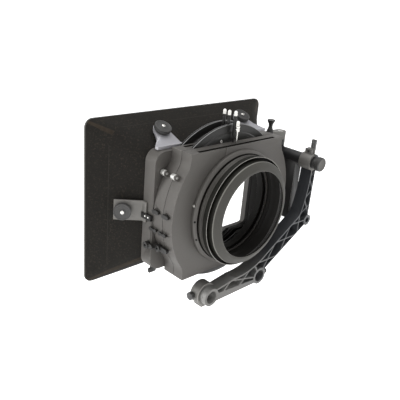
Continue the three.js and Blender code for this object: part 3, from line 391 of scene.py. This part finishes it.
def post_shade_paint(middle, normal, on_edge):
    """The hinge post's sides are dark with painted shade, apart from its edges and its top."""
    faces_up = normal.z > 0.7
    return None if on_edge or faces_up else POST_SHADE


def console_paint(middle, normal, on_edge):
    """The console's head is cast, and a band of painted light runs along the arm's outside and top, fading
    to painted shade towards -X.
    """
    head_low = 32
    if middle.z > head_low:
        return FINISHES["cast_grey"]
    # The band is painted light on faces turned up or towards +X, fading to painted shade
    is_outside_or_top = abs(normal.y) < 0.3 and (normal.x > 0.2 or normal.z > 0.6)
    return LIT_SHADED_BAND if is_outside_or_top and not on_edge else None


def hood_paint(middle, normal, on_edge):
    """The hood's narrow corner folds are scuffed, where they face the casing."""
    is_corner = 0 < abs(normal.x) - abs(normal.z) < 0.16
    return SCUFFED if is_corner and normal.y > 0.2 else None


def whole_paint(coat):
    """One coat all over, edges too."""
    return lambda middle, normal, on_edge: coat


def face_paint(coat):
    """One coat that leaves the edges, lighter as wear and as painted highlight, as they are."""
    return lambda middle, normal, on_edge: None if on_edge else coat


# A window's opening is half its width, half its height and its corners' radius, and before these come the
# window's near and far end along Y
OPENING = (80.0, 62.0, 8.0)
STAGE_WINDOW = (-18.2, -38.6, *OPENING)
FRAME_WINDOW = (-39.0, -62.0, 88.0, 68.0, 4.0)

DRESSING = {
    "main_frame": dict(width=1.2, segments=3, paint=case_paint, window=FRAME_WINDOW),
    "filter_stage": dict(width=1.1, segments=3, paint=case_paint, window=STAGE_WINDOW),
    "rear_stage": dict(width=1.1, segments=3, paint=case_paint),
    "hood": dict(width=0.6, paint=hood_paint, long_folds=True),
    "hood_edge_trim": dict(width=0.9),
    "console_arm": dict(width=0.6, paint=console_paint),
    "rod_clamp_block": dict(width=0.7),
    "hinge_post": dict(width=0.7, paint=post_shade_paint),
    "upper_hinge_arm": dict(width=0.8),
    "lower_hinge_arm": dict(width=0.8),
    "index_plate": dict(paint=whole_paint(SCREEN_BLACK)),
    "bottom_lever": dict(width=0.6),
}
for end in ("left", "right"):
    DRESSING["side_flag_tab_" + end] = dict(width=0.5, paint=face_paint(FINISHES["cast_grey"]))
    DRESSING["top_flag_bracket_" + end] = dict(width=0.8, paint=face_paint(BRACKET_GREY))

# Nodes whose names start like this are replaced by turned pieces, further down
TURNED = ("rotating_disc", "rear_collar", "lens_", "side_flag_knob", "top_flag_knob", "support_tube",
          "tube_end_knob", "pull_pin", "thumb_screw", "collar_screw", "stage_pin")
for node in sorted(NODES):
    if not node.startswith(TURNED):
        dressed(node, **DRESSING.get(node, {}))


# Turned pieces: a profile's points are (radius, place along the axis), and some also have their own rounding

ON_AXIS = 1e-6
UPRIGHT = 0.9
ROUNDING_REACH = 0.45
ROUNDING_STEPS = 3


def filleted(profile, rounding, closed):
    """Rounds the corners of a profile."""
    count = len(profile)
    out = []
    for i, corner in enumerate(profile):
        here = Vector(corner[:2])
        size = corner[2] if len(corner) > 2 else rounding
        is_end = not closed and i in (0, count - 1)
        if is_end or size <= 0:
            out.append(here)
            continue
        before = Vector(profile[i - 1][:2]) - here
        after = Vector(profile[(i + 1) % count][:2]) - here
        reach = min(size, before.length * ROUNDING_REACH, after.length * ROUNDING_REACH)
        start = here + before.normalized() * reach
        end = here + after.normalized() * reach
        for k in range(ROUNDING_STEPS + 1):
            t = k / ROUNDING_STEPS
            out.append(start * (1 - t) ** 2 + here * 2 * t * (1 - t) + end * t ** 2)
    return out


def across(axis):
    """Two directions square to an axis and to each other, the first of them level where it can be."""
    side = axis.orthogonal().normalized()
    if abs(axis.z) < UPRIGHT:
        side = Vector((0, 0, 1)).cross(axis).normalized()
    return side, axis.cross(side)


def fluted(radius, along, turn, count, depth, low, high, least_radius):
    """The radius with grooves for the fingers cut into it, between two places along the axis."""
    if low <= along <= high and radius >= least_radius:
        radius -= depth * (0.5 + 0.5 * math.cos(count * turn)) ** 2
    return radius


def turned(name, profile, body, slot, origin=(0, 0, 0), direction=(0, 1, 0), segments=128, rounding=0.4,
           replaces=(), coat=None, paint=None, flutes=None, window=None):
    """Turns a profile round a line through origin. It gets the slot's finish, or one coat,
    or what paint(radius, along) gives. flutes holds what fluted() asks for."""
    closed = profile[0][0] > 0
    axis = Vector(direction).normalized()
    side, other = across(axis)
    start = Vector(origin) + BOX
    build = bmesh.new()
    rings = []
    for radius, along in filleted(profile, rounding, closed):
        middle = start + axis * along
        if radius < ON_AXIS:
            rings.append([build.verts.new(middle / MM_PER_METRE)])
            continue
        ring = []
        for k in range(segments):
            turn = 2 * math.pi * k / segments
            reach = fluted(radius, along, turn, **flutes) if flutes else radius
            point = middle + side * reach * math.cos(turn) + other * reach * math.sin(turn)
            ring.append(build.verts.new(point / MM_PER_METRE))
        rings.append(ring)
    pairs = list(zip(rings, rings[1:]))
    if closed:
        pairs.append((rings[-1], rings[0]))
    coats = [] if paint else [coat or FINISHES[slot]]
    for a, b in pairs:
        for k in range(segments):
            j = (k + 1) % segments
            corners = list(dict.fromkeys((a[k % len(a)], a[j % len(a)], b[j % len(b)], b[k % len(b)])))
            if len(corners) < 3:
                continue
            face = build.faces.new(corners)
            if paint:
                middle = face.calc_center_median() * MM_PER_METRE - start
                along = middle.dot(axis)
                face.material_index = coat_number(coats, paint((middle - axis * along).length, along))
    bmesh.ops.recalc_face_normals(build, faces=build.faces)
    mesh = bpy.data.meshes.new(name)
    build.to_mesh(mesh)
    build.free()
    for used in coats:
        mesh.materials.append(used)
    if window:
        mesh = windowed(mesh, *window)
    add_object(name, mesh, body, replaces, TURNED_FOLD)


def turned_node(node, profile, **how):
    """A turned piece that replaces a node."""
    turned(node + "_body", profile, BODY_OF[node], SLOT_OF[node], replaces=(node,), **how)


def screw_head(radius, low, high, rounding, hole, floor, crown=0.0):
    """The profile of a round head with a hole in its middle, which the crown lifts."""
    return [(0, low), (radius, low), (radius, high, rounding), (hole, high + crown, 0.1), (hole, floor, 0),
            (0, floor)]


# Lens rings

PORT_RADIUS = 72.5
BARREL_RADIUS = 79.8
BARREL_RIM = 25.6
BARREL_RIM_INSIDE = 78.4
BARREL_WALL_RADIUS = 75.0
BARREL_WALL_TOP = 31.6
BARREL_CROWN = 37.8
BARREL_BORE = 62.7
# The inner steps' corners, which get a painted highlight
BARREL_STEPS = ((66.5, 31.6), (68.4, 29.0), (70.2, 28.0), (71.6, 25.6))
STEP_REACH = 0.6


def barrel_paint(radius, along):
    """Black in the bore, painted shade in the gap and on the sides, painted highlights on the rim, the lips
    and the steps, and a grey cone.
    """
    # The steps' corners get a painted highlight
    if min(math.hypot(radius - a, along - b) for a, b in BARREL_STEPS) < STEP_REACH:
        return INNER_EDGE_HIGHLIGHT
    steps_radius, steps_top = 72, 34.7
    gap_low = 18
    in_bore = radius < BARREL_BORE + 0.2 or radius < steps_radius and along < steps_top
    # The gap's black is painted shade
    in_gap = BARREL_WALL_RADIUS + 0.2 < radius < BARREL_RADIUS - 1 and gap_low < along < BARREL_RIM - 0.4
    if in_bore or in_gap:
        return INNER_BLACK
    # A painted highlight on the outer rim
    if radius > BARREL_RIM_INSIDE and along > BARREL_RIM - 0.6:
        return EDGES["cast_grey"]
    # Painted highlights on the wall's top and the crown's lip
    is_wall_top = radius > BARREL_WALL_RADIUS - 0.6 and along > BARREL_WALL_TOP - 0.4
    is_crown = radius < BARREL_BORE + 1 and along > BARREL_CROWN - 0.6
    if is_wall_top or is_crown:
        return BARREL_LIP_HIGHLIGHT
    # Below the cone the sides are painted shade
    return BARREL_CONE if along > BARREL_WALL_TOP - 0.1 else BARREL_SIDE_SHADE


def lens_barrel():
    """An outer wall, a gap, an inner wall with a cone on it, and steps down inside."""
    foot = 17.5
    gap = 19.5
    turned_node("lens_barrel", [
        (71.6, foot, 0), (79.5, foot), (BARREL_RADIUS, 18.5), (BARREL_RADIUS, BARREL_RIM, 0.3),
        (79.0, BARREL_RIM, 0.2), (BARREL_RIM_INSIDE, 24.6, 0.2), (78.0, gap, 0.2),
        (BARREL_WALL_RADIUS, gap, 0.2), (BARREL_WALL_RADIUS, BARREL_WALL_TOP, 0.5), (74.6, 32.6, 0.6),
        (65.6, BARREL_CROWN, 1.2), (BARREL_BORE, BARREL_CROWN), (BARREL_BORE, 35.4), (66.5, 33.2),
        BARREL_STEPS[0], (68.4, 30.6), *BARREL_STEPS[1:],
    ], paint=barrel_paint)


def lens_ring():
    """A ring with a narrower neck and a fine groove round it."""
    radius, groove = 78.3, 77.7
    neck, shoulder = 76.7, 9.1
    low, high = 7.5, 17.2

    def paint(r, along):
        is_hidden = r < PORT_RADIUS + 0.5 or along < shoulder + 0.1
        return INNER_BLACK if is_hidden else RING_GREY

    turned_node("lens_ring", [
        (PORT_RADIUS, low), (neck, low), (neck, shoulder), (radius, shoulder), (radius, 12.4, 0.3),
        (groove, 12.7, 0), (groove, 13.3, 0), (radius, 13.6, 0.3), (radius, high), (PORT_RADIUS, high),
    ], paint=paint)


def rear_collar():
    """A flat ring with a sloped outer corner, black in its bore and on its top."""
    radius, slope_radius = 83.9, 79.9
    foot, slope_foot, top = 0.3, 4.4, 7.2

    def paint(r, along):
        in_bore = r < PORT_RADIUS + 0.5
        on_top = along > top - 0.2 and r < slope_radius - 0.3
        return INNER_BLACK if in_bore or on_top else FINISHES["plate_grey"]

    turned_node("rear_collar", [
        (PORT_RADIUS, foot), (radius, foot), (radius, slope_foot, 0.7), (slope_radius, top, 0.8),
        (PORT_RADIUS, top),
    ], paint=paint)


FRONT_DISC_REAR = -38.7
REAR_DISC_REAR = -19.0


def rotating_disc(node, rear):
    """A filter disc with a raised middle, a groove in it and painted highlights on its rims."""
    radius, bore = 114.6, 72
    thickness, rim_step = 5.4, 1.4
    front = rear - thickness
    rim = rear - rim_step
    pocket_radius, pocket = 75.5, rear - 3.4
    groove = rear - 0.5

    def paint(r, along):
        # The rims' corners get a painted highlight
        is_rim = r > radius - 0.7 and min(abs(along - front), abs(along - rim)) < 0.45
        return DISC_RIM_HIGHLIGHT if is_rim else FINISHES["part_black"]

    turned_node(node, [
        (bore, front), (radius, front), (radius, rim), (104, rim, 0.3), (102.6, rear, 0.3),
        (92.6, rear, 0.2), (92.2, groove, 0), (91.4, groove, 0), (91, rear, 0.2),
        (pocket_radius, rear), (pocket_radius, pocket), (bore, pocket),
    ], segments=180, rounding=0.6, paint=paint, window=(rear + 1, front - 1, *OPENING))


lens_barrel()
lens_ring()
rear_collar()
rotating_disc("rotating_disc_front", FRONT_DISC_REAR)
rotating_disc("rotating_disc_rear", REAR_DISC_REAR)


# Knobs, pins and screws

# The flag knobs sit on the side tabs, which lean in plan (x, y), and on the top brackets, which lean in side
# view (y, z). These are where each starts, its lean and its thickness.
TAB_START = (117.3, -59.9)
TAB_LEAN = math.radians(-39)
TAB_THICKNESS = 2.4
BRACKET_START = (-53, 85.8)
BRACKET_LEAN = math.radians(27.5)
BRACKET_THICKNESS = 4.0
KNOB_ALONG = 27
SIDE_KNOB_Z = -0.5
TOP_KNOB_X = 79


def flag_knob(node, sheet, origin, direction):
    """A fluted knob on a shank through a sheet of metal, with a screw in its dished top."""
    radius, neck, shank = 12, 10, 2
    foot, top, dish = 0.3, 7.9, 7.5
    shank_past = 1.6
    shank_end = -foot - sheet - shank_past
    turned_node(node, [
        (0, shank_end), (shank, shank_end), (shank, foot), (neck, foot), (neck, 2.6), (radius, 2.9),
        (radius, top, 0.8), (10.3, top, 0.2), (9.9, dish, 0.1), (4.4, dish, 0.1), (4.1, top, 0.2),
        (0, top),
    ], origin=origin, direction=direction, segments=240, rounding=0.3,
        flutes=dict(count=60, depth=0.35, low=3.2, high=7.2, least_radius=11.6))
    head = screw_head(radius=2.6, low=7.3, high=9.2, rounding=0.5, hole=1.2, floor=8.6, crown=0.3)
    turned(node + "_screw", head, BODY_OF[node], "steel", origin, direction, segments=48, rounding=0.2)


def flag_knobs():
    along = (math.cos(TAB_LEAN), math.sin(TAB_LEAN))
    out = (-math.sin(TAB_LEAN), math.cos(TAB_LEAN))
    tab_x = TAB_START[0] + KNOB_ALONG * along[0] + TAB_THICKNESS * out[0]
    tab_y = TAB_START[1] + KNOB_ALONG * along[1] + TAB_THICKNESS * out[1]
    lean = (math.cos(BRACKET_LEAN), math.sin(BRACKET_LEAN))
    bracket_y = BRACKET_START[0] - KNOB_ALONG * lean[0] + BRACKET_THICKNESS * lean[1]
    bracket_z = BRACKET_START[1] + KNOB_ALONG * lean[1] + BRACKET_THICKNESS * lean[0]
    for side, sign in (("left", 1), ("right", -1)):
        flag_knob("side_flag_knob_" + side, TAB_THICKNESS, (sign * tab_x, tab_y, SIDE_KNOB_Z),
                  (sign * out[0], out[1], 0))
        flag_knob("top_flag_knob_" + side, BRACKET_THICKNESS, (sign * TOP_KNOB_X, bracket_y, bracket_z),
                  (0, lean[1], lean[0]))


TUBE_AXIS = (-150.5, 0, 47)
TUBE_RADIUS = 9.5
TUBE_ENDS = (-43.7, 23.8)


def support_tube():
    """A plain dark tube."""
    front, back = TUBE_ENDS
    turned_node("support_tube", [(0, front), (TUBE_RADIUS, front), (TUBE_RADIUS, back), (0, back)],
                origin=TUBE_AXIS, segments=64, coat=TUBE_DARK)


def tube_end_knob():
    """A fluted knob with a neck, and a grey disc sunk in its end."""
    radius, neck = 11, 8.2
    top, disc, disc_radius = 37.7, 37.2, 8.3

    def paint(r, along):
        return RING_GREY if along > disc - 0.2 and r < disc_radius + 0.2 else FINISHES["knob_black"]

    turned_node("tube_end_knob", [
        (0, 24.1), (neck, 24.1), (neck, 28.6), (radius, 29.7), (radius, 36.6, 0.6), (9.9, top, 0.4),
        (8.6, top, 0.1), (disc_radius, disc, 0.1), (0, disc),
    ], origin=TUBE_AXIS, segments=192, paint=paint,
        flutes=dict(count=48, depth=0.3, low=30.2, high=36.2, least_radius=10.5))


PULL_PIN_PLACE = (-121, -47.5, 80.6)


def pull_pin():
    """A waisted grip with a dished top, on a plain pin."""
    pin, pin_end = 3, -20.7
    top_radius, top, dish = 6.2, 21, 20.6
    turned_node("pull_pin", [
        (0, pin_end), (pin, pin_end), (pin, 0), (5.89, 0), (4.96, 4.62, 1.5), (3.1, 8.4, 2),
        (3.22, 14.28, 2), (5.7, 18.06, 1.5), (top_radius, top, 0.6), (4.6, top, 0.2), (4.3, dish, 0.1),
        (0, dish),
    ], origin=PULL_PIN_PLACE, direction=(0, 0, 1), segments=64)


THUMB_SCREW_X = 105.78
THUMB_SCREW_Z = 59.36
THUMB_SCREWS_Y = (-37.7, -18.0)


def thumb_screw(node, y):
    """A fluted head with a bare end of its shank under it."""
    radius, shank = 4, 1.8
    turned_node(node, [
        (0, 0), (3.2, 0), (radius, 0.6), (radius, 6.2), (3.4, 6.8), (shank, 6.8), (shank, 9.7), (0, 9.7),
    ], origin=(THUMB_SCREW_X, y, THUMB_SCREW_Z), segments=96, rounding=0.25, coat=THUMB_BRIGHT,
        flutes=dict(count=24, depth=0.25, low=0.9, high=5.9, least_radius=3.8))


COLLAR_SCREWS = 3
FIRST_COLLAR_SCREW = 13.5
COLLAR_MIDDLE = 2.35


def collar_screw(node, turn):
    """A screw that looks out of the collar's wall."""
    turned_node(node, screw_head(radius=2, low=84.2, high=86.0, rounding=0.5, hole=0.9, floor=85.4),
                origin=(0, COLLAR_MIDDLE, 0), direction=(math.cos(turn), 0, math.sin(turn)), segments=32,
                rounding=0.2)


# Each stage pin's place along Y, its cap's top, its foot and its radius
STAGE_PINS = (
    (-36.1, 132.4, 102, 2.3),
    (-27.1, 132.7, 102, 2.3),
    (-15.4, 134, 100, 2.3),
    (-9.5, 121.4, 107, 3.1),
)


def stage_pin(number, y, top, foot, radius):
    """A pin with a ring cut round it, and a white cap on its thin upper end."""
    rod, rod_end = 1.2, 78.4
    shoulder = top - 7
    rod_top = shoulder + 3.5
    waist = radius - 0.4
    node = "stage_pin_%d" % number
    turned_node(node, [
        (0, rod_end), (rod, rod_end), (rod, foot), (radius, foot), (radius, shoulder - 4, 0.2),
        (waist, shoulder - 3.6, 0), (waist, shoulder - 3, 0), (radius, shoulder - 2.6, 0.2),
        (radius, shoulder), (rod, shoulder), (rod, rod_top), (0, rod_top),
    ], origin=(0, y, 0), direction=(0, 0, 1), segments=48, rounding=0.3)
    cap_radius, cap_bore, cap_low = 2.3, 1.5, shoulder + 0.3
    turned_node("stage_pin_cap_%d" % number, [
        (cap_bore, cap_low), (cap_radius, cap_low), (cap_radius, top - 1.2, 0.8), (1.1, top, 0.4),
        (0.01, top), (0.01, cap_low + 3.5), (cap_bore, cap_low + 3.5),
    ], origin=(0, y, 0), direction=(0, 0, 1), segments=48, rounding=0.1)


flag_knobs()
support_tube()
tube_end_knob()
pull_pin()
for i, y in enumerate(THUMB_SCREWS_Y):
    thumb_screw("thumb_screw_%d" % (i + 1), y)
for i in range(COLLAR_SCREWS):
    collar_screw("collar_screw_%d" % (i + 1), math.radians(FIRST_COLLAR_SCREW + 360 / COLLAR_SCREWS * i))
for i, pin in enumerate(STAGE_PINS):
    stage_pin(i + 1, *pin)


# Small details that only the scene has

INDEX_DOTS_Y = (-50.0, -43.5)
COLLAR_SLOTS = (-1.6, -21.4)


def index_dot(name, y):
    """A white dot on the index plate's outer face."""
    plate_face, dots_height = 121.3, -4.6
    turned(name, [(0, -0.2), (1.2, -0.2), (1.2, 0.25, 0.1), (0, 0.3)], BODY_OF["index_plate"], "white_cap",
           (plate_face, y, dots_height), (1, 0, 0), segments=24, rounding=0.1)


def disc_face_screw():
    """A screw in the rear disc's rear face."""
    head = screw_head(radius=2.2, low=-0.4, high=0.3, rounding=0.15, hole=0.9, floor=0.1)
    turned("disc_face_screw", head, BODY_OF["rotating_disc_rear"], "steel", (19.4, REAR_DISC_REAR, 92.6),
           segments=24, rounding=0.1)


def collar_slot(name, turn):
    """A dark round spot on the collar's slope: painted shade that stands in for a slot's hollow."""
    radius, height = 82.0, 5.9
    slope_out, slope_back = 0.55, 0.83
    spot = [(0, -1.6), (1.5, -1.6), (1.5, 0.1, 0.1), (0, 0.15)]
    turned(name, spot, BODY_OF["rear_collar"], "part_black",
           (radius * math.cos(turn), height, radius * math.sin(turn)),
           (slope_out * math.cos(turn), slope_back, slope_out * math.sin(turn)),
           segments=20, rounding=0.1, coat=SEAM_DARK)


for i, y in enumerate(INDEX_DOTS_Y):
    index_dot("index_dot_%d" % (i + 1), y)
disc_face_screw()
for i, turn in enumerate(COLLAR_SLOTS):
    collar_slot("collar_slot_%d" % (i + 1), math.radians(turn))


# Camera: the photograph's view as fitted, with places in metres, the focal length in pixels of a frame 400
# pixels wide, and the sensor in millimetres

AZIMUTH = math.radians(134.48)
ELEVATION = math.radians(22.04)
ROLL = math.radians(5.09)
CAMERA_PLACE = (0.53469, 0.43372, 0.40954)
FOCAL_PIXELS = 532.64
FRAME_PIXELS = 400.0
SENSOR_WIDTH = 36.0
NEAREST_SEEN = 0.01


def camera_rotation():
    """The camera's own axes, rolled about the line of sight."""
    back = Vector((math.sin(AZIMUTH) * math.cos(ELEVATION), -math.cos(AZIMUTH) * math.cos(ELEVATION),
                   math.sin(ELEVATION)))
    level = (-back).cross(Vector((0, 0, 1))).normalized()
    upright = level.cross(-back)
    right = level * math.cos(ROLL) + upright * math.sin(ROLL)
    up = upright * math.cos(ROLL) - level * math.sin(ROLL)
    return Matrix((right, up, back)).transposed()


def photo_camera():
    """The camera that takes the photograph's picture."""
    view = bpy.data.cameras.new("photo_view")
    view.sensor_fit = "HORIZONTAL"
    view.sensor_width = SENSOR_WIDTH
    view.lens = SENSOR_WIDTH * FOCAL_PIXELS / FRAME_PIXELS
    view.clip_start = NEAREST_SEEN
    camera = bpy.data.objects.new("photo_view", view)
    camera.matrix_world = Matrix.Translation(Vector(CAMERA_PLACE)) @ camera_rotation().to_4x4()
    bpy.context.scene.collection.objects.link(camera)
    bpy.context.scene.camera = camera


photo_camera()


# Light, in metres and watts

LIT_PLACE = (0, 0, 0.1)
AMBIENT = 0.18


def soft_lamp(name, place, size, energy):
    lamp = bpy.data.lights.new(name, "AREA")
    lamp.shape = "RECTANGLE"
    lamp.size, lamp.size_y = size
    lamp.energy = energy
    thing = bpy.data.objects.new(name, lamp)
    thing.location = place
    thing.rotation_euler = (Vector(LIT_PLACE) - Vector(place)).to_track_quat("-Z", "Y").to_euler()
    bpy.context.scene.collection.objects.link(thing)


def ambient_light():
    world = bpy.data.worlds.new("studio")
    bpy.context.scene.world = world
    world.use_nodes = True
    background = world.node_tree.nodes["Background"]
    socket(background, "Color", (1, 1, 1, 1))
    socket(background, "Strength", AMBIENT)


soft_lamp("top_soft", (0.1, 0.0, 1.6), size=(2.0, 2.0), energy=30)
soft_lamp("left_soft", (1.6, -0.9, 0.7), size=(1.3, 1.5), energy=13)
ambient_light()


# Floor: a pale disc that turns up into a backdrop all round

FLOOR_Z = -0.16
FLOOR_SIDES = 48
FLOOR_GLOW = 0.76
# Radius, and height over the floor
SWEEP = ((5.0, 0.0), (9.0, 0.0), (11.0, 0.7), (12.5, 2.0), (13.5, 3.8), (14.3, 6.8))


def floor_mesh():
    mesh = bpy.data.meshes.new("floor")
    turns = [2 * math.pi * k / FLOOR_SIDES for k in range(FLOOR_SIDES)]
    points = [(r * math.cos(turn), r * math.sin(turn), FLOOR_Z + height)
              for r, height in SWEEP for turn in turns]
    faces = [tuple(range(FLOOR_SIDES))]
    for ring in range(len(SWEEP) - 1):
        inner, outer = ring * FLOOR_SIDES, (ring + 1) * FLOOR_SIDES
        for k in range(FLOOR_SIDES):
            j = (k + 1) % FLOOR_SIDES
            faces.append((inner + k, outer + k, outer + j, inner + j))
    mesh.from_pydata(points, [], faces)
    return mesh


def floor_finish():
    finish = surface("floor_pale", (0.9, 0.9, 0.9), 0.9, bump=0.02, variation=0.01, cloud=2, grain=60,
                     specular=0.1)
    shader = finish.node_tree.nodes["Principled BSDF"]
    socket(shader, "Emission Color", (1, 1, 1, 1))
    socket(shader, "Emission Strength", FLOOR_GLOW)
    return finish


floor = bpy.data.objects.new("floor", floor_mesh())
floor.data.materials.append(floor_finish())
bpy.context.scene.collection.objects.link(floor)

bpy.context.scene.view_settings.view_transform = "Standard"
